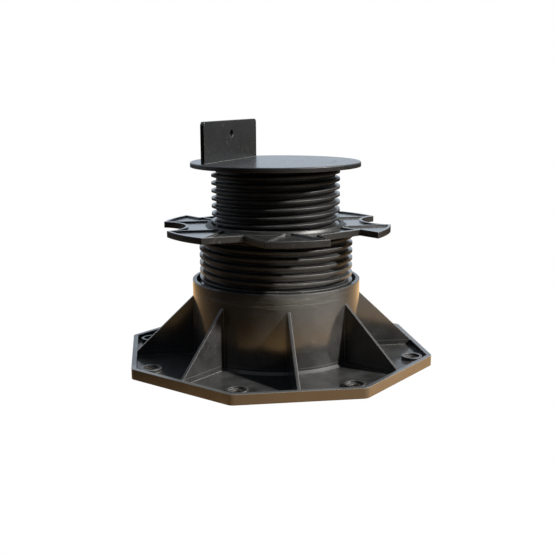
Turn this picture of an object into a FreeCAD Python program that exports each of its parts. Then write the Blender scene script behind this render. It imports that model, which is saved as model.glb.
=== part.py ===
"""Adjustable deck pedestal: octagonal base, adjusting sleeve with a hand flange, and head.

Millimetres, +Z up. The origin is at the middle of the base, on the ground.
"""
import os

import FreeCAD
import Part
import Sketcher

# Driving sizes, written to the sheet and used from there by every feature
SIZES = {
    # Base plate
    "base_flats": 203.8,
    "base_corner_round": 6.0,
    "floor_thick": 3.4,
    "rim_height": 6.9,
    "rim_width": 3.2,
    # Collar that takes the sleeve
    "collar_r": 58.6,
    "collar_wall": 2.7,
    "collar_height": 56.9,
    "collar_foot": 1.8,
    "collar_turns": 1.0,
    "guide_height": 41.0,
    "lead_in": 4.0,
    # Gussets between collar and rim
    "gusset_thick": 2.1,
    "gusset_top": 45.3,
    # Screw bosses at the corners
    "boss_circle_r": 96.5,
    "boss_r": 7.0,
    "boss_height": 2.4,
    "screw_hole_r": 2.75,
    "screw_seat_r": 5.25,
    "screw_seat_depth": 1.4,
    # Both threads share one coarse profile
    "thread_pitch": 5.25,
    "thread_depth": 3.3,
    "thread_foot": 3.7,
    "thread_crest": 1.5,
    "thread_room": 2.5,
    "thread_gap": 0.6,
    "end_ring": 1.4,
    # Adjusting sleeve
    "sleeve_wall": 5.1,
    "sleeve_bottom": 37.2,
    "sleeve_thread_start": 7.6,
    "flange_r": 79.5,
    "flange_top": 94.9,
    "flange_thick": 4.2,
    "panel_drop": 1.1,
    "edge_width": 1.9,
    "bore_ring_width": 2.4,
    "bore_ring_rise": 1.0,
    "bore_ring_slope": 1.2,
    "sleeve_turn": 1.6,
    # Notches between the lobes of the hand flange
    "scoop_r": 24.0,
    "scoop_depth": 17.0,
    "vee_depth": 21.0,
    "vee_half_angle": 49.4,
    "step_depth": 20.2,
    "step_lead": 12.0,
    "step_lead_angle": 24.0,
    "step_stop": 23.5,
    "web_offset": 21.4,
    "web_width": 1.7,
    # Head
    "column_wall": 3.0,
    "column_bottom": 84.2,
    "column_thread_start": 7.35,
    "disc_r": 58.6,
    "disc_thick": 3.2,
    "disc_top": 137.9,
    "tab_offset": 33.0,
    "tab_length": 84.0,
    "tab_height": 27.5,
    "tab_thick": 2.8,
    "tab_corner_round": 3.0,
    "tab_hole_r": 2.7,
    "tab_hole_height": 18.4,
    "head_turn": 149.5,
    # Broken edges, and how far a feature is sunk into what carries it
    "edge_break": 0.5,
    "bite": 0.5,
}

# Radii that follow from the collar inwards: each piece is fitted to the one that takes it
COLLAR_BORE = "([collar_r] - [collar_wall])"
SLEEVE_CREST = "(%s - [thread_room])" % COLLAR_BORE
GUIDE_BORE = "(%s + [thread_gap])" % SLEEVE_CREST
SLEEVE_ROOT = "(%s - [thread_depth])" % SLEEVE_CREST
SLEEVE_BORE = "(%s - [sleeve_wall])" % SLEEVE_ROOT
COLUMN_CREST = "(%s - [thread_gap])" % SLEEVE_BORE
COLUMN_ROOT = "(%s - [thread_depth])" % COLUMN_CREST
COLUMN_BORE = "(%s - [column_wall])" % COLUMN_ROOT
FLANGE_UNDER = "([flange_top] - [flange_thick])"
DISC_UNDER = "([disc_top] - [disc_thick])"

SIDES = 8
LOBES = 6
HALF_SIDE_ANGLE = 180.0 / SIDES
LOBE_ANGLE = 360.0 / LOBES

doc = FreeCAD.newDocument("deck_pedestal")
sheet = doc.addObject("Spreadsheet::Sheet", "Sizes")
for row, (name, value) in enumerate(SIZES.items(), start=1):
    sheet.set("A%d" % row, name)
    sheet.set("B%d" % row, str(value))
    sheet.setAlias("B%d" % row, name)
doc.recompute()


def size(text):
    """Turn a formula in sheet names, such as [flange_r] - 2, into an expression."""
    return text.replace("[", "Sizes.").replace("]", "")


def origin(body, role):
    """One of a body's own planes or axes."""
    return next(item for item in body.Origin.OriginFeatures if item.Role == role)


def new_body(name):
    return doc.addObject("PartDesign::Body", name)


def new_sketch(body, name, role, lift="0"):
    """Empty sketch on one of the body's planes, moved along the plane's normal."""
    sketch = body.newObject("Sketcher::SketchObject", name)
    sketch.AttachmentSupport = [(origin(body, role), "")]
    sketch.MapMode = "FlatFace"
    sketch.setExpression("AttachmentOffset.Base.z", size(lift))
    doc.recompute()
    return sketch


def number(sketch, text):
    return float(sketch.evalExpression(size(text)))


def bind(sketch, kind, *where, to):
    """Add a dimension and tie it to an expression."""
    index = sketch.addConstraint(Sketcher.Constraint(kind, *where, number(sketch, to)))
    sketch.setExpression("Constraints[%d]" % index, size(to))


def polygon(sketch, corners):
    """Closed outline of straight lines through corners given as pairs of formulas."""
    points = [FreeCAD.Vector(number(sketch, x), number(sketch, y), 0) for x, y in corners]
    lines = []
    for start, end in zip(points, points[1:] + points[:1]):
        lines.append(sketch.addGeometry(Part.LineSegment(start, end), False))
    for line, after in zip(lines, lines[1:] + lines[:1]):
        sketch.addConstraint(Sketcher.Constraint("Coincident", line, 2, after, 1))
    for line, (x, y) in zip(lines, corners):
        bind(sketch, "DistanceX", -1, 1, line, 1, to=x)
        bind(sketch, "DistanceY", -1, 1, line, 1, to=y)


def circle(sketch, x, y, radius):
    centre = FreeCAD.Vector(number(sketch, x), number(sketch, y), 0)
    round_line = Part.Circle(centre, FreeCAD.Vector(0, 0, 1), number(sketch, radius))
    ring = sketch.addGeometry(round_line, False)
    bind(sketch, "DistanceX", -1, 1, ring, 3, to=x)
    bind(sketch, "DistanceY", -1, 1, ring, 3, to=y)
    bind(sketch, "Radius", ring, to=radius)


def pad(body, name, sketch, length, both_ways=False):
    feature = body.newObject("PartDesign::Pad", name)
    feature.Profile = sketch
    feature.SideType = "Symmetric" if both_ways else "One side"
    feature.setExpression("Length", size(length))
    doc.recompute()
    return feature


def pocket(body, name, sketch, length, upward=False):
    feature = body.newObject("PartDesign::Pocket", name)
    feature.Profile = sketch
    feature.Reversed = upward
    feature.setExpression("Length", size(length))
    doc.recompute()
    return feature


def revolve(body, name, sketch):
    feature = body.newObject("PartDesign::Revolution", name)
    feature.Profile = sketch
    feature.ReferenceAxis = (origin(body, "Z_Axis"), [""])
    feature.Angle = 360
    doc.recompute()
    return feature


def around(body, name, features, count):
    """Repeat features evenly about the body's Z axis."""
    pattern = body.newObject("PartDesign::PolarPattern", name)
    pattern.Originals = features
    pattern.Axis = (origin(body, "Z_Axis"), [""])
    pattern.Angle = 360
    pattern.Occurrences = count
    body.Tip = pattern
    doc.recompute()
    return pattern


def round_edges(body, name, base, wanted, radius):
    """Fillet those edges of a feature that a test picks."""
    names = ["Edge%d" % (i + 1) for i, edge in enumerate(base.Shape.Edges) if wanted(edge)]
    fillet = body.newObject("PartDesign::Fillet", name)
    fillet.Base = (base, names)
    fillet.setExpression("Radius", size(radius))
    doc.recompute()
    return fillet


def is_upright(edge):
    start, end = edge.Vertexes[0].Point, edge.Vertexes[-1].Point
    return abs(start.x - end.x) < 1e-6 and abs(start.y - end.y) < 1e-6 and abs(start.z - end.z) > 1e-6


def thread(body, name, root, crest, middle, length, left_handed):
    """Coarse ridge wound along a wall, from its root radius to its crest radius."""
    sketch = new_sketch(body, name + "_profile", "XZ_Plane")
    sunk = "%s - [bite] * (%s - %s) / abs(%s - %s)" % (root, crest, root, crest, root)
    half_foot = "[thread_foot] / 2"
    half_crest = "[thread_crest] / 2"
    polygon(sketch, [
        (sunk, "%s - %s" % (middle, half_foot)),
        (root, "%s - %s" % (middle, half_foot)),
        (crest, "%s - %s" % (middle, half_crest)),
        (crest, "%s + %s" % (middle, half_crest)),
        (root, "%s + %s" % (middle, half_foot)),
        (sunk, "%s + %s" % (middle, half_foot)),
    ])
    helix = body.newObject("PartDesign::AdditiveHelix", name)
    helix.Profile = sketch
    helix.ReferenceAxis = (origin(body, "Z_Axis"), [""])
    helix.Mode = "pitch-height-angle"
    helix.setExpression("Pitch", size("[thread_pitch]"))
    helix.setExpression("Height", size(length))
    helix.LeftHanded = left_handed
    doc.recompute()
    return helix


def octagon(sketch, flats):
    """Eight-sided outline with flats facing the axes."""
    corner = "(%s) / 2 / cos(%g deg)" % (flats, HALF_SIDE_ANGLE)
    angles = [HALF_SIDE_ANGLE * (2 * k + 1) for k in range(SIDES)]
    polygon(sketch, [("%s * cos(%g deg)" % (corner, a), "%s * sin(%g deg)" % (corner, a)) for a in angles])


def make_base():
    body = new_body("base")

    plate = new_sketch(body, "plate_outline", "XY_Plane")
    octagon(plate, "[base_flats]")
    slab = pad(body, "plate", plate, "[rim_height]")
    round_edges(body, "plate_corners", slab, is_upright, "[base_corner_round]")

    tray = new_sketch(body, "tray_outline", "XY_Plane", "[rim_height]")
    octagon(tray, "[base_flats] - 2 * [rim_width]")
    pocket(body, "tray", tray, "[rim_height] - [floor_thick]")

    wall = new_sketch(body, "collar_section", "XZ_Plane")
    polygon(wall, [
        (GUIDE_BORE, "[floor_thick] - [bite]"),
        ("[collar_r] + [collar_foot]", "[floor_thick] - [bite]"),
        ("[collar_r] + [collar_foot]", "[floor_thick]"),
        ("[collar_r]", "[floor_thick] + [collar_foot]"),
        ("[collar_r]", "[collar_height] - [edge_break]"),
        ("[collar_r] - [edge_break]", "[collar_height]"),
        (COLLAR_BORE, "[collar_height]"),
        (COLLAR_BORE, "[guide_height]"),
        (GUIDE_BORE, "[guide_height]"),
    ])
    revolve(body, "collar", wall)

    side = new_sketch(body, "gusset_side", "XZ_Plane")
    polygon(side, [
        ("[collar_r] - [bite]", "[floor_thick] - [bite]"),
        ("[base_flats] / 2 - [rim_width] / 2", "[floor_thick] - [bite]"),
        ("[base_flats] / 2 - [rim_width] / 2", "[rim_height]"),
        ("[base_flats] / 2 - [rim_width]", "[rim_height]"),
        ("[collar_r]", "[gusset_top]"),
        ("[collar_r] - [bite]", "[gusset_top]"),
    ])
    gusset = pad(body, "gusset", side, "[gusset_thick]", both_ways=True)
    around(body, "gussets", [gusset], SIDES)

    boss_top = "[floor_thick] + [boss_height]"
    centre = ("[boss_circle_r] * cos(%g deg)" % HALF_SIDE_ANGLE, "[boss_circle_r] * sin(%g deg)" % HALF_SIDE_ANGLE)
    ring = new_sketch(body, "boss_outline", "XY_Plane", "[floor_thick] - [bite]")
    circle(ring, centre[0], centre[1], "[boss_r]")
    boss = pad(body, "boss", ring, "[boss_height] + [bite]")
    around(body, "bosses", [boss], SIDES)
    hole = new_sketch(body, "screw_hole_outline", "XY_Plane", boss_top)
    circle(hole, centre[0], centre[1], "[screw_hole_r]")
    drill = pocket(body, "screw_hole", hole, boss_top)
    seat = new_sketch(body, "screw_seat_outline", "XY_Plane", boss_top)
    circle(seat, centre[0], centre[1], "[screw_seat_r]")
    counterbore = pocket(body, "screw_seat", seat, "[screw_seat_depth]")
    around(body, "screw_holes", [drill, counterbore], SIDES)

    wound = "[collar_turns] * [thread_pitch]"
    body.Tip = thread(body, "collar_thread", COLLAR_BORE, GUIDE_BORE,
                      "[collar_height] - [lead_in] - [thread_foot] - %s" % wound, wound, left_handed=True)
    return body


def rotated(x, y, angle):
    """A point given by formulas along and across a notch, turned about the axis."""
    return ("(%s) * cos(%g deg) - (%s) * sin(%g deg)" % (x, angle, y, angle),
            "(%s) * sin(%g deg) + (%s) * cos(%g deg)" % (x, angle, y, angle))


# How far the notch outlines run past the flange's own edge
NOTCH_FAR = "([flange_r] + [edge_width] * 2)"


def scoop_notch(sketch, grow):
    """Round finger scoop on the X axis."""
    circle(sketch, "[flange_r] - [scoop_depth] + [scoop_r]", "0", "[scoop_r] + %s" % grow)


def vee_notch(sketch, grow):
    """Symmetrical V, one lobe on from the scoop."""
    tip = "[flange_r] - [vee_depth] - (%s) / sin([vee_half_angle] * 1 deg)" % grow
    spread = "(%s - (%s)) * tan([vee_half_angle] * 1 deg)" % (NOTCH_FAR, tip)
    polygon(sketch, [
        rotated(tip, "0", LOBE_ANGLE),
        rotated(NOTCH_FAR, "-(%s)" % spread, LOBE_ANGLE),
        rotated(NOTCH_FAR, spread, LOBE_ANGLE),
    ])


def step_notch(sketch, grow):
    """Flat-floored notch two lobes on, with one slanted and one straight side."""
    floor = "[flange_r] - [step_depth] - (%s)" % grow
    slope = "tan([step_lead_angle] * 1 deg)"
    lead = "[step_lead] + (%s) / cos([step_lead_angle] * 1 deg) - (%s) * %s" % (grow, grow, slope)
    lead_far = "(%s) + (%s - (%s)) * %s" % (lead, NOTCH_FAR, floor, slope)
    stop = "[step_stop] + (%s)" % grow
    polygon(sketch, [
        rotated(floor, "-(%s)" % lead, 2 * LOBE_ANGLE),
        rotated(NOTCH_FAR, "-(%s)" % lead_far, 2 * LOBE_ANGLE),
        rotated(NOTCH_FAR, stop, 2 * LOBE_ANGLE),
        rotated(floor, stop, 2 * LOBE_ANGLE),
    ])


NOTCHES = {"scoop": scoop_notch, "vee": vee_notch, "step": step_notch}


def make_sleeve():
    body = new_body("adjusting_sleeve")
    ring = "(%s + [bore_ring_width])" % SLEEVE_BORE
    panel = "[flange_top] - [panel_drop]"

    section = new_sketch(body, "sleeve_section", "XZ_Plane")
    polygon(section, [
        (SLEEVE_BORE, "[sleeve_bottom]"),
        (SLEEVE_CREST, "[sleeve_bottom]"),
        (SLEEVE_CREST, "[sleeve_bottom] + [end_ring]"),
        (SLEEVE_ROOT, "[sleeve_bottom] + [end_ring]"),
        (SLEEVE_ROOT, FLANGE_UNDER),
        ("[flange_r]", FLANGE_UNDER),
        ("[flange_r]", "[flange_top]"),
        ("[flange_r] - [edge_width]", "[flange_top]"),
        ("[flange_r] - [edge_width]", panel),
        (ring + " + [bore_ring_slope]", panel),
        (ring, "[flange_top] + [bore_ring_rise]"),
        (SLEEVE_BORE, "[flange_top] + [bore_ring_rise]"),
    ])
    revolve(body, "tube_and_flange", section)

    for name, notch in NOTCHES.items():
        edge = new_sketch(body, name + "_edge_outline", "XY_Plane", FLANGE_UNDER)
        notch(edge, "[edge_width]")
        raised = pad(body, name + "_edge", edge, "[flange_thick]")
        around(body, name + "_edges", [raised], 2)

    webs = new_sketch(body, "web_outline", "XY_Plane", FLANGE_UNDER)
    inner = "sqrt((%s - [bite]) ^ 2 - [web_offset] ^ 2)" % ring
    for side in ("", "-"):
        near = "%s([web_offset] - [web_width] / 2)" % side
        far = "%s([web_offset] + [web_width] / 2)" % side
        polygon(webs, [(inner, near), ("[flange_r]", near), ("[flange_r]", far), (inner, far)])
    web = pad(body, "web", webs, "[flange_thick]")
    around(body, "webs", [web], LOBES)

    for name, notch in NOTCHES.items():
        cut = new_sketch(body, name + "_outline", "XY_Plane", FLANGE_UNDER)
        notch(cut, "0")
        opening = pocket(body, name, cut, "[flange_thick]", upward=True)
        around(body, name + "s", [opening], 2)

    trim = new_sketch(body, "flange_trim_outline", "XY_Plane", FLANGE_UNDER)
    circle(trim, "0", "0", "[flange_r]")
    circle(trim, "0", "0", "[flange_r] * 2")
    pocket(body, "flange_trim", trim, "[flange_thick]", upward=True)

    first = "[sleeve_bottom] + [sleeve_thread_start]"
    wound = "%s + [thread_foot] / 2 - (%s)" % (FLANGE_UNDER, first)
    body.Tip = thread(body, "outside_thread", SLEEVE_ROOT, SLEEVE_CREST, first, wound, left_handed=True)
    body.setExpression("Placement.Rotation.Angle", size("[sleeve_turn]"))
    return body


def make_head():
    body = new_body("head")

    section = new_sketch(body, "head_section", "XZ_Plane")
    polygon(section, [
        ("0", DISC_UNDER),
        (COLUMN_BORE, DISC_UNDER),
        (COLUMN_BORE, "[column_bottom]"),
        (COLUMN_CREST, "[column_bottom]"),
        (COLUMN_CREST, "[column_bottom] + [end_ring]"),
        (COLUMN_ROOT, "[column_bottom] + [end_ring]"),
        (COLUMN_ROOT, DISC_UNDER),
        ("[disc_r]", DISC_UNDER),
        ("[disc_r]", "[disc_top] - [edge_break]"),
        ("[disc_r] - [edge_break]", "[disc_top]"),
        ("0", "[disc_top]"),
    ])
    revolve(body, "column_and_disc", section)

    plate = new_sketch(body, "tab_outline", "YZ_Plane", "[tab_offset]")
    top = "[disc_top] + [tab_height]"
    polygon(plate, [
        ("-[tab_length] / 2", "[disc_top] - [bite]"),
        ("[tab_length] / 2", "[disc_top] - [bite]"),
        ("[tab_length] / 2", top),
        ("-[tab_length] / 2", top),
    ])
    tab = pad(body, "tab", plate, "[tab_thick]")

    def is_top_corner(edge):
        spot = edge.CenterOfMass
        return (edge.Length < sheet.tab_thick + 1e-6 and abs(spot.z - sheet.disc_top - sheet.tab_height) < 1e-6
                and abs(abs(spot.y) - sheet.tab_length / 2) < 1e-6)

    round_edges(body, "tab_corners", tab, is_top_corner, "[tab_corner_round]")
    hole = new_sketch(body, "tab_hole_outline", "YZ_Plane", "[tab_offset]")
    circle(hole, "0", "[disc_top] + [tab_hole_height]", "[tab_hole_r]")
    pocket(body, "tab_hole", hole, "[tab_thick]", upward=True)

    first = "[column_bottom] + [column_thread_start]"
    wound = "%s + [thread_foot] / 2 - (%s)" % (DISC_UNDER, first)
    body.Tip = thread(body, "column_thread", COLUMN_ROOT, COLUMN_CREST, first, wound, left_handed=False)
    body.setExpression("Placement.Rotation.Angle", size("[head_turn]"))
    return body


bodies = [make_base(), make_sleeve(), make_head()]
doc.recompute()

for item in doc.Objects:
    if "Invalid" in item.State or "Error" in item.State:
        raise RuntimeError("%s did not compute: %s" % (item.Name, item.State))
os.makedirs("parts", exist_ok=True)
for body in bodies:
    shape = body.Shape
    if shape.isNull() or not shape.isValid() or len(shape.Solids) != 1:
        raise RuntimeError("%s is not one valid solid" % body.Label)
    shape.exportStep("parts/%s.step" % body.Label)
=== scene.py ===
"""Looks of the adjustable deck pedestal: black moulded plastic on a pale studio floor."""
import math

import bpy
from mathutils import Matrix, Vector

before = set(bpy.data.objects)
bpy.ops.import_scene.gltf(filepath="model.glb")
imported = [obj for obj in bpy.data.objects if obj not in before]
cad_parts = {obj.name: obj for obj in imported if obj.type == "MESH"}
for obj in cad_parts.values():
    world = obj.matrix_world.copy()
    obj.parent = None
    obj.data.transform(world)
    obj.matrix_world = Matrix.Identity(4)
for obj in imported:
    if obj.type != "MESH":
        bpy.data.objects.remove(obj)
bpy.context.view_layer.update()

# Heights and half widths on the pedestal in metres, as the solids have them
PLATE_HALF = 0.1019
RIM_TOP = 0.0069
COLLAR_TOP = 0.0569
FLANGE_PANEL = 0.0938
BORE_RING_FOOT = 0.0486
SEAT_UNDER = 0.1347
MARKED_BAND = 0.016

# Camera of the photograph, which is 554 pixels each way
CAMERA_AWAY = 0.6004
CAMERA_HEIGHT = 0.1820
CAMERA_AZIMUTH = -7.844
CAMERA_HEADING = -7.905
CAMERA_PITCH = 11.81
CAMERA_ROLL = -0.26
FOCAL_PIXELS = 868.5
FRAME_PIXELS = 554
SENSOR = 36.0

# Light: a key like the sun, a cool sky and a warm ground
KEY_FROM = (0.90, -0.437, 0.82)
KEY_POWER = 11.0
KEY_WIDTH = 4.0
KEY_TINT = (1.0, 0.97, 0.92)
SKY_GLOW = 1.05
FRONT_GLOW = 0.36
DIM_GLOW = 0.02
NEAR_GLOW = 2.6
FAR_GLOW = 1.9
PALE_GLOW = 2.6
NEAR_GROUND = (0.13, 0.22)
FAR_GROUND = (0.24, 0.42)
WARM_GROUND = (1.0, 0.62, 0.28)
PALE_GROUND = (1.0, 0.95, 0.86)
DIM_SKY = (0.60, 0.66, 0.75)
BRIGHT_SKY = (0.78, 0.88, 1.00)

# Where the ground's glow fades, in metres on the floor, and the share of it that is left there
NEAR_LEFT, NEAR_LEFT_SHARE = (-0.12, 0.0), 0.12
NEAR_BACK, NEAR_BACK_SHARE = (-0.06, 0.06), 0.1
FAR_START = (-0.05, 0.15)
FAR_LEFT, FAR_LEFT_SHARE = (-0.25, -0.05), 0.2
FAR_MIDDLE, FAR_MIDDLE_SHARE = (0.02, 0.08), 0.25
PALE_SLANT = 0.7
PALE_START = (0.12, 0.28)
PALE_BACK = (-0.10, 0.0)
DIFFUSE_SHARE = 0.1
FLOOR_HALF = 6.0

# Where the sky fades, as parts of a direction of length one, and the share of it that is left there
SKY_BACK = (-0.2, 0.4)
SKY_RIGHT, SKY_RIGHT_SHARE = (0.3, 0.8), 0.3
SKY_LOW, SKY_HIGH_SHARE = (0.10, 0.5), 0.2
SKY_OVERHEAD = (0.1, 0.6)

# Where the masks start and end: cosines of a face's turn, upward parts of its normal, and noise values
RUB_AND_GLINT_TURN = (0.98, 0.75)
FACING_UP = (0.3, 0.95)
FACING_DOWN = (-0.1, -0.5)
DUST_PATCH = (0.42, 0.72)
DUST_REFLECTION_CLOUD, DUST_REFLECTION_THIN = (0.3, 0.6), 0.6
SCRATCH_LINE = (0.60, 0.72)
SCUFF_PATCH = (0.45, 0.65)
TONE_NOISE = (0.35, 0.65)
ROUGH_NOISE = (0.3, 0.7)


# Shader helpers

def link(tree, out, into):
    tree.links.new(out, into)


def node(tree, kind, **values):
    """New node with its inputs set by name."""
    made = tree.nodes.new(kind)
    for name, value in values.items():
        made.inputs[name.replace("_", " ")].default_value = value
    return made


def maths(tree, operation, first, second):
    """Math node whose two values are sockets or numbers."""
    made = tree.nodes.new("ShaderNodeMath")
    made.operation = operation
    for socket, value in zip(made.inputs, (first, second)):
        if isinstance(value, (int, float)):
            socket.default_value = value
        else:
            link(tree, value, socket)
    return made.outputs[0]


def spread(tree, value, low, high, to_low, to_high):
    """Map a value's range onto another, clamped."""
    made = tree.nodes.new("ShaderNodeMapRange")
    for name, number in (("From Min", low), ("From Max", high), ("To Min", to_low), ("To Max", to_high)):
        made.inputs[name].default_value = number
    link(tree, value, made.inputs["Value"])
    return made.outputs["Result"]


def new_group(name, inputs, outputs):
    """Empty shader group with float inputs and outputs, and its two end nodes."""
    group = bpy.data.node_groups.new(name, "ShaderNodeTree")
    for label, default in inputs:
        socket = group.interface.new_socket(label, in_out="INPUT", socket_type="NodeSocketFloat")
        socket.default_value = default
    for label, kind in outputs:
        group.interface.new_socket(label, in_out="OUTPUT", socket_type=kind)
    return group, group.nodes.new("NodeGroupInput"), group.nodes.new("NodeGroupOutput")


def place(tree, group, **values):
    """Put a group in a material with its own values."""
    made = tree.nodes.new("ShaderNodeGroup")
    made.node_tree = group
    for name, value in values.items():
        made.inputs[name.replace("_", " ")].default_value = value
    return made


def make_mould_grain():
    """Fine spark-eroded grain of the mould, with a slower unevenness under it."""
    group, given, result = new_group(
        "mould_grain", [("Grain Size", 1200.0), ("Unevenness Size", 90.0)],
        [("Height", "NodeSocketFloat"), ("Tone", "NodeSocketFloat")])
    where = group.nodes.new("ShaderNodeTexCoord")
    fine = node(group, "ShaderNodeTexNoise", Detail=4.0, Roughness=0.6)
    slow = node(group, "ShaderNodeTexNoise", Detail=3.0, Roughness=0.5)
    for noise, label in ((fine, "Grain Size"), (slow, "Unevenness Size")):
        link(group, where.outputs["Object"], noise.inputs["Vector"])
        link(group, given.outputs[label], noise.inputs["Scale"])
    height = maths(group, "ADD", maths(group, "MULTIPLY", fine.outputs[0], 0.3), slow.outputs[0])
    link(group, height, result.inputs["Height"])
    link(group, slow.outputs[0], result.inputs["Tone"])
    return group


def make_flow_marks():
    """Streaks that the melt left as it ran round the mould, long one way and short up the part."""
    group, given, result = new_group(
        "flow_marks", [("Length Scale", 8.0), ("Height Scale", 130.0), ("Low", 0.52), ("High", 0.72)],
        [("Mask", "NodeSocketFloat")])
    where = group.nodes.new("ShaderNodeTexCoord")
    stretch = group.nodes.new("ShaderNodeMapping")
    size = group.nodes.new("ShaderNodeCombineXYZ")
    link(group, given.outputs["Length Scale"], size.inputs["X"])
    link(group, given.outputs["Length Scale"], size.inputs["Y"])
    link(group, given.outputs["Height Scale"], size.inputs["Z"])
    link(group, where.outputs["Object"], stretch.inputs["Vector"])
    link(group, size.outputs[0], stretch.inputs["Scale"])
    streak = node(group, "ShaderNodeTexNoise", Scale=1.0, Detail=5.0, Roughness=0.62, Distortion=0.4)
    link(group, stretch.outputs[0], streak.inputs["Vector"])
    fade = group.nodes.new("ShaderNodeMapRange")
    link(group, streak.outputs[0], fade.inputs["Value"])
    link(group, given.outputs["Low"], fade.inputs["From Min"])
    link(group, given.outputs["High"], fade.inputs["From Max"])
    link(group, fade.outputs[0], result.inputs["Mask"])
    return group


def make_edge_rounding():
    """Rounded edges: the softened normal, and a mask of where it turns away from the flat one."""
    group, given, result = new_group(
        "edge_rounding", [("Radius", 0.0006)], [("Normal", "NodeSocketVector"), ("Mask", "NodeSocketFloat")])
    soft = group.nodes.new("ShaderNodeBevel")
    soft.samples = 12
    link(group, given.outputs["Radius"], soft.inputs["Radius"])
    flat = group.nodes.new("ShaderNodeNewGeometry")
    turn = group.nodes.new("ShaderNodeVectorMath")
    turn.operation = "DOT_PRODUCT"
    link(group, soft.outputs[0], turn.inputs[0])
    link(group, flat.outputs["Normal"], turn.inputs[1])
    link(group, soft.outputs[0], result.inputs["Normal"])
    link(group, spread(group, turn.outputs["Value"], *RUB_AND_GLINT_TURN, 0.0, 1.0), result.inputs["Mask"])
    return group


def make_settled_dust():
    """Pale dust on faces that look up, broken by noise."""
    group, given, result = new_group(
        "settled_dust", [("Patch Size", 60.0), ("Cover", 0.4)], [("Mask", "NodeSocketFloat")])
    where = group.nodes.new("ShaderNodeTexCoord")
    facing = group.nodes.new("ShaderNodeNewGeometry")
    split = group.nodes.new("ShaderNodeSeparateXYZ")
    link(group, facing.outputs["Normal"], split.inputs[0])
    patch = node(group, "ShaderNodeTexNoise", Detail=6.0, Roughness=0.65)
    link(group, where.outputs["Object"], patch.inputs["Vector"])
    link(group, given.outputs["Patch Size"], patch.inputs["Scale"])
    up = spread(group, split.outputs["Z"], *FACING_UP, 0.0, 1.0)
    broken = spread(group, patch.outputs[0], *DUST_PATCH, 0.0, 1.0)
    covered = maths(group, "MULTIPLY", maths(group, "MULTIPLY", up, broken), given.outputs["Cover"])
    link(group, covered, result.inputs["Mask"])
    return group


def make_height_band():
    """Mask of a band of heights on the part, with a broken edge."""
    group, given, result = new_group(
        "height_band", [("Bottom", 0.0), ("Top", 0.01), ("Edge", 0.002), ("Break", 0.002)],
        [("Mask", "NodeSocketFloat")])
    where = group.nodes.new("ShaderNodeTexCoord")
    split = group.nodes.new("ShaderNodeSeparateXYZ")
    link(group, where.outputs["Object"], split.inputs[0])
    ragged = node(group, "ShaderNodeTexNoise", Scale=55.0, Detail=5.0, Roughness=0.6)
    link(group, where.outputs["Object"], ragged.inputs["Vector"])
    sway = maths(group, "MULTIPLY", maths(group, "SUBTRACT", ragged.outputs[0], 0.5), given.outputs["Break"])
    height = maths(group, "ADD", split.outputs["Z"], sway)
    above = maths(group, "SUBTRACT", height, given.outputs["Bottom"])
    below = maths(group, "SUBTRACT", given.outputs["Top"], height)
    rise = maths(group, "DIVIDE", above, given.outputs["Edge"])
    fall = maths(group, "DIVIDE", below, given.outputs["Edge"])
    band = maths(group, "MINIMUM", maths(group, "MINIMUM", rise, fall), 1.0)
    link(group, maths(group, "MAXIMUM", band, 0.0), result.inputs["Mask"])
    return group


def make_ground_dust_and_reflection():
    """Mask of faces that look outwards, low down and far from the axis, broken by noise."""
    group, given, result = new_group(
        "ground_dust_and_reflection", [("Reach", 0.1), ("Top", 0.01), ("Edge", 0.003), ("Cover", 0.9)],
        [("Mask", "NodeSocketFloat")])
    where = group.nodes.new("ShaderNodeTexCoord")
    split = group.nodes.new("ShaderNodeSeparateXYZ")
    link(group, where.outputs["Object"], split.inputs[0])
    outwards = group.nodes.new("ShaderNodeCombineXYZ")
    link(group, split.outputs["X"], outwards.inputs["X"])
    link(group, split.outputs["Y"], outwards.inputs["Y"])
    facing = group.nodes.new("ShaderNodeNewGeometry")
    along = group.nodes.new("ShaderNodeVectorMath")
    along.operation = "DOT_PRODUCT"
    link(group, outwards.outputs[0], along.inputs[0])
    link(group, facing.outputs["Normal"], along.inputs[1])
    outer = maths(group, "GREATER_THAN", along.outputs["Value"], given.outputs["Reach"])
    cloud = node(group, "ShaderNodeTexNoise", Scale=70.0, Detail=5.0, Roughness=0.6)
    link(group, where.outputs["Object"], cloud.inputs["Vector"])
    below = maths(group, "SUBTRACT", given.outputs["Top"], split.outputs["Z"])
    low = maths(group, "DIVIDE", below, given.outputs["Edge"])
    low = maths(group, "MAXIMUM", maths(group, "MINIMUM", low, 1.0), 0.0)
    cloudy = spread(group, cloud.outputs[0], *DUST_REFLECTION_CLOUD, DUST_REFLECTION_THIN, 1.0)
    broken = maths(group, "MULTIPLY", cloudy, given.outputs["Cover"])
    link(group, maths(group, "MULTIPLY", maths(group, "MULTIPLY", low, outer), broken), result.inputs["Mask"])
    return group


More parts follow.
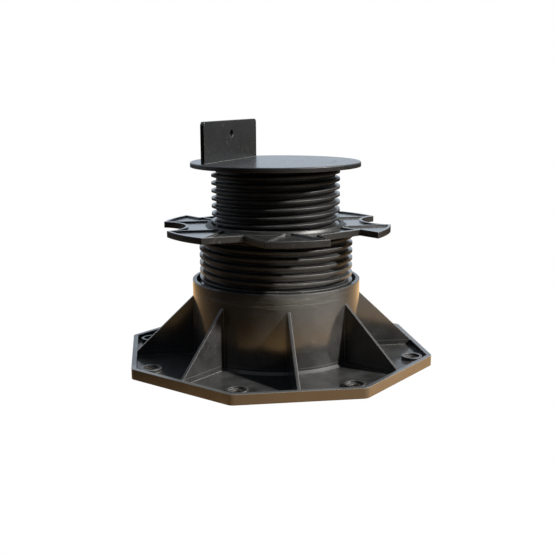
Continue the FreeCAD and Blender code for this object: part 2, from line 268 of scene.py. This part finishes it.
def make_handling_scuffs():
    """Short fine scratches that run several ways, thinned out in patches."""
    group, given, result = new_group(
        "handling_scuffs", [("Scratch Size", 500.0), ("Patch Size", 30.0), ("Amount", 0.5)],
        [("Mask", "NodeSocketFloat")])
    where = group.nodes.new("ShaderNodeTexCoord")
    strongest = None
    for tilt, squeeze in (((0.3, 0.2, 0.5), (0.05, 1.0, 0.6)), ((1.1, 0.4, 2.0), (1.0, 0.06, 0.7))):
        lay = group.nodes.new("ShaderNodeMapping")
        lay.inputs["Rotation"].default_value = tilt
        lay.inputs["Scale"].default_value = squeeze
        link(group, where.outputs["Object"], lay.inputs["Vector"])
        scratch = node(group, "ShaderNodeTexNoise", Detail=2.0, Roughness=0.5)
        link(group, lay.outputs[0], scratch.inputs["Vector"])
        link(group, given.outputs["Scratch Size"], scratch.inputs["Scale"])
        line = spread(group, scratch.outputs[0], *SCRATCH_LINE, 0.0, 1.0)
        strongest = line if strongest is None else maths(group, "MAXIMUM", strongest, line)
    patch = node(group, "ShaderNodeTexNoise", Detail=3.0, Roughness=0.6)
    link(group, where.outputs["Object"], patch.inputs["Vector"])
    link(group, given.outputs["Patch Size"], patch.inputs["Scale"])
    shown = maths(group, "MULTIPLY", strongest, spread(group, patch.outputs[0], *SCUFF_PATCH, 0.0, 1.0))
    link(group, maths(group, "MULTIPLY", shown, given.outputs["Amount"]), result.inputs["Mask"])
    return group


def make_near_axis():
    """Mask of what lies within a radius of the screw axis."""
    group, given, result = new_group(
        "near_axis", [("Radius", 0.05), ("Edge", 0.001)], [("Mask", "NodeSocketFloat")])
    where = group.nodes.new("ShaderNodeTexCoord")
    split = group.nodes.new("ShaderNodeSeparateXYZ")
    link(group, where.outputs["Object"], split.inputs[0])
    across = maths(group, "POWER", split.outputs["X"], 2.0)
    along = maths(group, "POWER", split.outputs["Y"], 2.0)
    out = maths(group, "POWER", maths(group, "ADD", across, along), 0.5)
    within = maths(group, "SUBTRACT", given.outputs["Radius"], out)
    inside = maths(group, "DIVIDE", within, given.outputs["Edge"])
    link(group, maths(group, "MAXIMUM", maths(group, "MINIMUM", inside, 1.0), 0.0), result.inputs["Mask"])
    return group


def make_underside():
    """Mask of faces that look down."""
    group, _, result = new_group("underside", [], [("Mask", "NodeSocketFloat")])
    facing = group.nodes.new("ShaderNodeNewGeometry")
    split = group.nodes.new("ShaderNodeSeparateXYZ")
    link(group, facing.outputs["Normal"], split.inputs[0])
    link(group, spread(group, split.outputs["Z"], *FACING_DOWN, 0.0, 1.0), result.inputs["Mask"])
    return group


MOULD_GRAIN = make_mould_grain()
FLOW_MARKS = make_flow_marks()
EDGE_ROUNDING = make_edge_rounding()
SETTLED_DUST = make_settled_dust()
HEIGHT_BAND = make_height_band()
GROUND_DUST_AND_REFLECTION = make_ground_dust_and_reflection()
HANDLING_SCUFFS = make_handling_scuffs()
NEAR_AXIS = make_near_axis()
UNDERSIDE = make_underside()


def mix_colour(tree, mask, first, second):
    """Colour that goes from the first to the second as the mask rises."""
    made = tree.nodes.new("ShaderNodeMix")
    made.data_type = "RGBA"
    link(tree, mask, made.inputs["Factor"])
    for socket, value in ((made.inputs[6], first), (made.inputs[7], second)):
        if isinstance(value, tuple):
            socket.default_value = (*value, 1.0)
        else:
            link(tree, value, socket)
    return made.outputs[2]


# Plastic: specular level under the glossy skin, sway of the roughness, polish by rubbing, depth of grain
BODY_SPECULAR = 0.3
ROUGHNESS_SWAY = 0.04
RUB_POLISH = -0.10
GRAIN_STRENGTH = 0.35


class MouldedPlastic:
    """Black moulded plastic that is built up layer by layer."""

    def __init__(self, name, deep, pale, roughness, coat, coat_roughness):
        self.material = bpy.data.materials.new(name)
        self.material.use_nodes = True
        self.tree = self.material.node_tree
        self.shader = self.tree.nodes["Principled BSDF"]
        self.shader.inputs["Coat Roughness"].default_value = coat_roughness
        self.shader.inputs["Specular IOR Level"].default_value = BODY_SPECULAR
        self.coat = coat
        self.grain = place(self.tree, MOULD_GRAIN)
        uneven = self.grain.outputs["Tone"]
        self.colour = mix_colour(self.tree, spread(self.tree, uneven, *TONE_NOISE, 0.0, 1.0), deep, pale)
        smoothest, roughest = roughness - ROUGHNESS_SWAY, roughness + ROUGHNESS_SWAY
        self.rough = spread(self.tree, uneven, *ROUGH_NOISE, smoothest, roughest)
        self.height = self.grain.outputs["Height"]

    def layer(self, mask, colour=None, rougher=0.0, higher=0.0):
        """Add a colour, a change of roughness and a change of height where a mask shows."""
        if colour:
            self.colour = mix_colour(self.tree, mask, self.colour, colour)
        if rougher:
            self.rough = maths(self.tree, "ADD", self.rough, maths(self.tree, "MULTIPLY", mask, rougher))
        if higher:
            self.height = maths(self.tree, "ADD", self.height, maths(self.tree, "MULTIPLY", mask, higher))

    def dull(self, mask, kept, rougher=0.15):
        """Take the glossy skin away where a mask shows, down to the share that is kept."""
        self.coat = maths(self.tree, "MULTIPLY", spread(self.tree, mask, 0.0, 1.0, 1.0, kept), self.coat)
        self.layer(mask, rougher=rougher)

    def finish(self, rub_and_glint_radius, round_radius, rubbed_and_glint, grain_depth):
        """Lighten the edges, partly as rubbed wear and partly as a painted glint, round them, join everything
        to the shader and hand over the material.
        """
        rub_and_glint = place(self.tree, EDGE_ROUNDING, Radius=rub_and_glint_radius)
        rounded = place(self.tree, EDGE_ROUNDING, Radius=round_radius)
        # Lighter edges: partly rubbed wear, partly a painted glint along the rounded edges
        self.layer(rub_and_glint.outputs["Mask"], rubbed_and_glint, rougher=RUB_POLISH)
        link(self.tree, self.colour, self.shader.inputs["Base Color"])
        link(self.tree, self.rough, self.shader.inputs["Roughness"])
        link(self.tree, self.coat, self.shader.inputs["Coat Weight"])
        bump = node(self.tree, "ShaderNodeBump", Strength=GRAIN_STRENGTH, Distance=grain_depth)
        link(self.tree, self.height, bump.inputs["Height"])
        link(self.tree, rounded.outputs["Normal"], bump.inputs["Normal"])
        link(self.tree, bump.outputs[0], self.shader.inputs["Normal"])
        return self.material


DUST_GREY = (0.060, 0.062, 0.066)
# Brown of dust off the ground, which also serves as a painted warm reflection of the ground
BROWN_DUST_AND_REFLECTION = (0.042, 0.026, 0.012)
SCUFF_GREY = (0.070, 0.070, 0.068)
# Grey of the flow marks: partly their own tone, partly a painted streaky sheen
MARK_TONE_AND_SHEEN = (0.040, 0.040, 0.037)
# Painted sky reflection on the tops of the plate's rim
RIM_SKY_SHEEN = (0.045, 0.047, 0.050)
SEAT_BLACK = (0.005, 0.005, 0.005)

# Share of the glossy skin that is left on dulled faces
UNDERSIDE_KEPT = 0.2
DUST_AND_REFLECTION_KEPT = 0.35
BORE_RING_KEPT = 0.0

# Height above the whole part, for bands with no upper end
NO_TOP = 1.0


def base_plastic():
    """Base: flow marks under the collar's rim, partly lightened as a painted streaky sheen; brown dust with a
    painted warm reflection of the ground on the plate's edge.
    """
    plastic = MouldedPlastic(
        "base_plastic", deep=(0.006, 0.006, 0.006), pale=(0.013, 0.013, 0.013),
        roughness=0.56, coat=0.8, coat_roughness=0.16)
    tree = plastic.tree
    marks = place(tree, FLOW_MARKS, Height_Scale=95.0)
    near_rim = place(
        tree, HEIGHT_BAND, Bottom=COLLAR_TOP - MARKED_BAND, Top=COLLAR_TOP, Edge=0.003, Break=0.006)
    streaks_and_sheen = maths(tree, "MULTIPLY", marks.outputs[0], near_rim.outputs[0])
    # Flow marks get a lighter grey that is partly their tone and partly a painted streaky sheen, and are made
    # smoother and raised
    plastic.layer(streaks_and_sheen, MARK_TONE_AND_SHEEN, rougher=-0.10, higher=24.0)
    scuffs = place(tree, HANDLING_SCUFFS, Amount=0.22)
    plastic.layer(scuffs.outputs[0], SCUFF_GREY, rougher=0.15)
    dust = place(tree, SETTLED_DUST, Cover=0.30)
    plastic.layer(dust.outputs[0], DUST_GREY, rougher=0.2)
    dust_and_reflection = place(tree, GROUND_DUST_AND_REFLECTION, Reach=PLATE_HALF - 0.001, Top=RIM_TOP + 0.001, Edge=0.002)
    # Brown low on the plate's outward edge: partly dust, partly a painted warm reflection of the ground
    plastic.layer(dust_and_reflection.outputs[0], BROWN_DUST_AND_REFLECTION)
    plastic.dull(dust_and_reflection.outputs[0], DUST_AND_REFLECTION_KEPT)
    # Painted sky reflection: the rim tops get a lighter cool grey, and are made smoother
    rim_sheen = place(tree, HEIGHT_BAND, Bottom=RIM_TOP - 0.0003, Top=RIM_TOP + 0.0002, Edge=0.0001, Break=0.0)
    plastic.layer(rim_sheen.outputs[0], RIM_SKY_SHEEN, rougher=-0.18)
    plastic.dull(place(tree, UNDERSIDE).outputs[0], UNDERSIDE_KEPT)
    return plastic.finish(
        rub_and_glint_radius=0.0006, round_radius=0.0009, rubbed_and_glint=(0.120, 0.117, 0.110), grain_depth=0.00010)


def sleeve_plastic():
    """Sleeve: scuffed by handling, with a satin ring round the bore."""
    plastic = MouldedPlastic(
        "sleeve_plastic", deep=(0.004, 0.004, 0.004), pale=(0.008, 0.008, 0.008),
        roughness=0.52, coat=1.0, coat_roughness=0.18)
    tree = plastic.tree
    scuffs = place(tree, HANDLING_SCUFFS, Amount=0.6)
    plastic.layer(scuffs.outputs[0], SCUFF_GREY, rougher=0.15)
    dust = place(tree, SETTLED_DUST, Cover=0.25)
    plastic.layer(dust.outputs[0], DUST_GREY, rougher=0.2)
    plastic.dull(place(tree, UNDERSIDE).outputs[0], UNDERSIDE_KEPT)
    around_bore = place(tree, NEAR_AXIS, Radius=BORE_RING_FOOT + 0.001)
    on_top = place(tree, HEIGHT_BAND, Bottom=FLANGE_PANEL - 0.0006, Top=NO_TOP, Edge=0.0002, Break=0.0)
    bore_ring = maths(tree, "MULTIPLY", around_bore.outputs[0], on_top.outputs[0])
    plastic.dull(bore_ring, BORE_RING_KEPT, rougher=-0.10)
    return plastic.finish(
        rub_and_glint_radius=0.0005, round_radius=0.0010, rubbed_and_glint=(0.140, 0.140, 0.135), grain_depth=0.00006)


def head_plastic():
    """Head: the seat and the tab are more even and a little smoother than the thread."""
    plastic = MouldedPlastic(
        "head_plastic", deep=(0.004, 0.004, 0.004), pale=(0.008, 0.008, 0.008),
        roughness=0.50, coat=0.8, coat_roughness=0.22)
    tree = plastic.tree
    seat = place(tree, HEIGHT_BAND, Bottom=SEAT_UNDER, Top=NO_TOP, Edge=0.0004, Break=0.0)
    plastic.layer(seat.outputs[0], SEAT_BLACK, rougher=-0.04)
    scuffs = place(tree, HANDLING_SCUFFS, Amount=0.2)
    plastic.layer(scuffs.outputs[0], SCUFF_GREY, rougher=0.12)
    dust = place(tree, SETTLED_DUST, Cover=0.2)
    plastic.layer(dust.outputs[0], DUST_GREY, rougher=0.15)
    plastic.dull(place(tree, UNDERSIDE).outputs[0], UNDERSIDE_KEPT)
    return plastic.finish(
        rub_and_glint_radius=0.0005, round_radius=0.0010, rubbed_and_glint=(0.125, 0.125, 0.122), grain_depth=0.00006)


def dress(name, material):
    """Give a CAD node its material."""
    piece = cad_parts[name]
    piece.data.materials.clear()
    piece.data.materials.append(material)


dress("base", base_plastic())
dress("adjusting_sleeve", sleeve_plastic())
dress("head", head_plastic())


# Stage, lights and camera

def white_to_camera(tree, other, output):
    """Plain white where the camera looks, and another shader for all other light."""
    white = tree.nodes.new("ShaderNodeEmission")
    path = tree.nodes.new("ShaderNodeLightPath")
    choose = tree.nodes.new("ShaderNodeMixShader")
    link(tree, path.outputs["Is Camera Ray"], choose.inputs[0])
    link(tree, other.outputs[0], choose.inputs[1])
    link(tree, white.outputs[0], choose.inputs[2])
    link(tree, choose.outputs[0], output.inputs["Surface"])


def ground_glow(tree):
    """Colour and brightness of the ground as the gloss sees it: lit in places, dim elsewhere."""
    spot = tree.nodes.new("ShaderNodeNewGeometry")
    split = tree.nodes.new("ShaderNodeSeparateXYZ")
    link(tree, spot.outputs["Position"], split.inputs[0])
    away = tree.nodes.new("ShaderNodeVectorMath")
    away.operation = "LENGTH"
    link(tree, spot.outputs["Position"], away.inputs[0])
    across, along = split.outputs["X"], split.outputs["Y"]
    near = spread(tree, away.outputs["Value"], *NEAR_GROUND, NEAR_GLOW, 0.0)
    near = maths(tree, "MULTIPLY", near, spread(tree, across, *NEAR_LEFT, NEAR_LEFT_SHARE, 1.0))
    near = maths(tree, "MULTIPLY", near, spread(tree, along, *NEAR_BACK, 1.0, NEAR_BACK_SHARE))
    fading = spread(tree, away.outputs["Value"], *FAR_GROUND, 1.0, 0.0)
    behind = maths(tree, "MULTIPLY", spread(tree, along, *FAR_START, 0.0, FAR_GLOW), fading)
    behind = maths(tree, "MULTIPLY", behind, spread(tree, across, *FAR_LEFT, FAR_LEFT_SHARE, 1.0))
    sideways = maths(tree, "MULTIPLY", across, across)
    squares = [edge ** 2 for edge in FAR_MIDDLE]
    behind = maths(tree, "MULTIPLY", behind, spread(tree, sideways, *squares, FAR_MIDDLE_SHARE, 1.0))
    front_right = maths(tree, "SUBTRACT", across, maths(tree, "MULTIPLY", along, PALE_SLANT))
    pale = spread(tree, front_right, *PALE_START, 0.0, 1.0)
    pale = maths(tree, "MULTIPLY", pale, spread(tree, along, *PALE_BACK, 1.0, 0.0))
    lit = maths(tree, "MULTIPLY", maths(tree, "MULTIPLY", pale, fading), PALE_GLOW)
    glow = maths(tree, "ADD", maths(tree, "ADD", maths(tree, "ADD", near, behind), lit), DIM_GLOW)
    colour = mix_colour(tree, maths(tree, "DIVIDE", lit, glow), WARM_GROUND, PALE_GROUND)
    path = tree.nodes.new("ShaderNodeLightPath")
    kept = spread(tree, path.outputs["Is Diffuse Ray"], 0.0, 1.0, 1.0, DIFFUSE_SHARE)
    return colour, maths(tree, "MULTIPLY", glow, kept)


def pale_floor():
    """Wide plain floor: white to the camera, and warm sunlit ground in the plastic's gloss."""
    half = FLOOR_HALF
    corners = [(-half, -half, 0), (half, -half, 0), (half, half, 0), (-half, half, 0)]
    mesh = bpy.data.meshes.new("studio_floor")
    mesh.from_pydata(corners, [], [(0, 1, 2, 3)])
    floor = bpy.data.objects.new("studio_floor", mesh)
    bpy.context.scene.collection.objects.link(floor)
    material = bpy.data.materials.new("floor_paper")
    material.use_nodes = True
    tree = material.node_tree
    tree.nodes.remove(tree.nodes["Principled BSDF"])
    ground = tree.nodes.new("ShaderNodeEmission")
    colour, glow = ground_glow(tree)
    link(tree, colour, ground.inputs["Color"])
    link(tree, glow, ground.inputs["Strength"])
    white_to_camera(tree, ground, tree.nodes["Material Output"])
    mesh.materials.append(material)


def sun_key():
    """Bright key from the front right, with a slightly soft shadow edge."""
    lamp = bpy.data.lights.new("sun_key", "SUN")
    lamp.energy = KEY_POWER
    lamp.angle = math.radians(KEY_WIDTH)
    lamp.color = KEY_TINT
    holder = bpy.data.objects.new("sun_key", lamp)
    holder.rotation_euler = Vector(KEY_FROM).to_track_quat("Z", "Y").to_euler()
    bpy.context.scene.collection.objects.link(holder)


def studio_world():
    """Cool sky for the gloss, bright low down on the far side and dim elsewhere, and white for the camera."""
    world = bpy.data.worlds.new("studio_world")
    bpy.context.scene.world = world
    world.use_nodes = True
    tree = world.node_tree
    sky = tree.nodes["Background"]
    where = tree.nodes.new("ShaderNodeTexCoord")
    split = tree.nodes.new("ShaderNodeSeparateXYZ")
    link(tree, where.outputs["Generated"], split.inputs[0])
    across, along, up = split.outputs["X"], split.outputs["Y"], split.outputs["Z"]
    far_side = spread(tree, along, *SKY_BACK, 0.0, 1.0)
    far_side = maths(tree, "MULTIPLY", far_side, spread(tree, across, *SKY_RIGHT, 1.0, SKY_RIGHT_SHARE))
    tint = mix_colour(tree, far_side, DIM_SKY, BRIGHT_SKY)
    low_down = maths(tree, "MULTIPLY", spread(tree, up, *SKY_LOW, 1.0, SKY_HIGH_SHARE), SKY_GLOW)
    overhead = spread(tree, up, *SKY_OVERHEAD, 0.0, FRONT_GLOW)
    strength = maths(tree, "ADD", maths(tree, "MULTIPLY", low_down, far_side), overhead)
    link(tree, tint, sky.inputs["Color"])
    link(tree, strength, sky.inputs["Strength"])
    white_to_camera(tree, sky, tree.nodes["World Output"])


def photo_camera():
    """Camera where the photograph was taken from."""
    lens = bpy.data.cameras.new("photo_camera")
    lens.sensor_width = SENSOR
    lens.lens = FOCAL_PIXELS / FRAME_PIXELS * SENSOR
    camera = bpy.data.objects.new("photo_camera", lens)
    bpy.context.scene.collection.objects.link(camera)
    turn = math.radians(CAMERA_AZIMUTH)
    spot = Vector((math.sin(turn) * CAMERA_AWAY, -math.cos(turn) * CAMERA_AWAY, CAMERA_HEIGHT))
    aim = (Matrix.Rotation(math.radians(CAMERA_HEADING), 4, "Z")
           @ Matrix.Rotation(math.radians(90 - CAMERA_PITCH), 4, "X")
           @ Matrix.Rotation(math.radians(CAMERA_ROLL), 4, "Z"))
    camera.matrix_world = Matrix.Translation(spot) @ aim
    bpy.context.scene.camera = camera


pale_floor()
studio_world()
sun_key()
photo_camera()
bpy.context.scene.view_settings.view_transform = "Standard"
